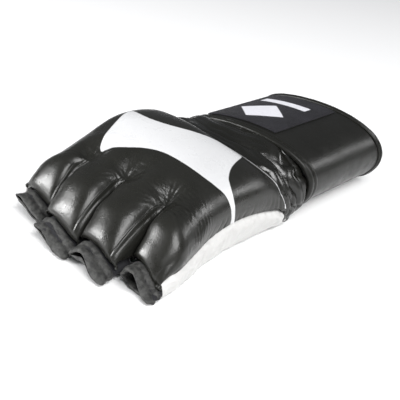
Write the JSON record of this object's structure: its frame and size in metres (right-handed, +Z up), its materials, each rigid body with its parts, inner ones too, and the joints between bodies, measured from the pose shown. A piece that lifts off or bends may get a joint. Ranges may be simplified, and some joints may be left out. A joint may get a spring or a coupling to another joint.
{
  "type": "mma glove",
  "caption": "Open-finger padded grappling glove, right hand: foam knuckle pad, short finger loops, white palm and a wide hook-and-loop wrist strap.",
  "frame": {"origin": "on the resting plane, under the middle of the glove's length and width", "axes": "+Z up, +X towards the thumb side, -Y towards the fingertips, +Y towards the wrist"},
  "size_m": [0.1168, 0.2579, 0.0548],
  "materials": {
    "black_leather": "satin",
    "white_leather": "satin",
    "soft_leather": "gloss",
    "strap_leather": "satin",
    "edge_binding": "matte",
    "foam": "matte",
    "lining": "matte",
    "loop_tape": "matte",
    "hook_tape": "matte",
    "label": "matte"
  },
  "bodies": {
    "hand": {"knuckle_cover": "black_leather", "knuckle_foam": "foam", "dorsal_lining": "lining", "palm_panel": "white_leather", "thumb_binding": "edge_binding", "thumb_gusset": "white_leather", "pinky_gusset": "white_leather", "throat_gaiter": "soft_leather", "cuff_sleeve": "lining", "wrist_strap": "strap_leather", "strap_front_binding": "edge_binding", "strap_rear_binding": "edge_binding", "loop_patch": "loop_tape"},
    "index_finger": {"index_cover": "black_leather", "index_foam": "foam", "index_sleeve": "white_leather", "index_binding": "edge_binding"},
    "middle_finger": {"middle_cover": "black_leather", "middle_foam": "foam", "middle_sleeve": "black_leather", "middle_binding": "edge_binding"},
    "ring_finger": {"ring_cover": "black_leather", "ring_foam": "foam", "ring_sleeve": "black_leather", "ring_binding": "edge_binding"},
    "pinky_finger": {"pinky_cover": "black_leather", "pinky_foam": "foam", "pinky_sleeve": "black_leather", "pinky_binding": "edge_binding"},
    "closure_tab": {"strap_tab": "strap_leather", "tab_binding": "edge_binding", "label_patch": "label", "hook_patch": "hook_tape"}
  },
  "joints": [
    {"name": "index_flex", "type": "hinge", "parent": "hand", "child": "index_finger", "pos_m": [0.0441, -0.067, 0.024], "axis": [1, 0, 0], "range_deg": [-8, 50], "stiffness_Nm_per_rad": 0.08},
    {"name": "middle_flex", "type": "hinge", "parent": "hand", "child": "middle_finger", "pos_m": [0.0147, -0.067, 0.024], "axis": [1, 0, 0], "range_deg": [-8, 50], "stiffness_Nm_per_rad": 0.08},
    {"name": "ring_flex", "type": "hinge", "parent": "hand", "child": "ring_finger", "pos_m": [-0.0147, -0.067, 0.024], "axis": [1, 0, 0], "range_deg": [-8, 50], "stiffness_Nm_per_rad": 0.08},
    {"name": "pinky_flex", "type": "hinge", "parent": "hand", "child": "pinky_finger", "pos_m": [-0.0441, -0.067, 0.024], "axis": [1, 0, 0], "range_deg": [-8, 50], "stiffness_Nm_per_rad": 0.08},
    {"name": "closure_peel", "type": "hinge", "parent": "hand", "child": "closure_tab", "pos_m": [0.02, 0.068, 0.0467], "axis": [0, 1, 0], "range_deg": [0, 120]}
  ]
}
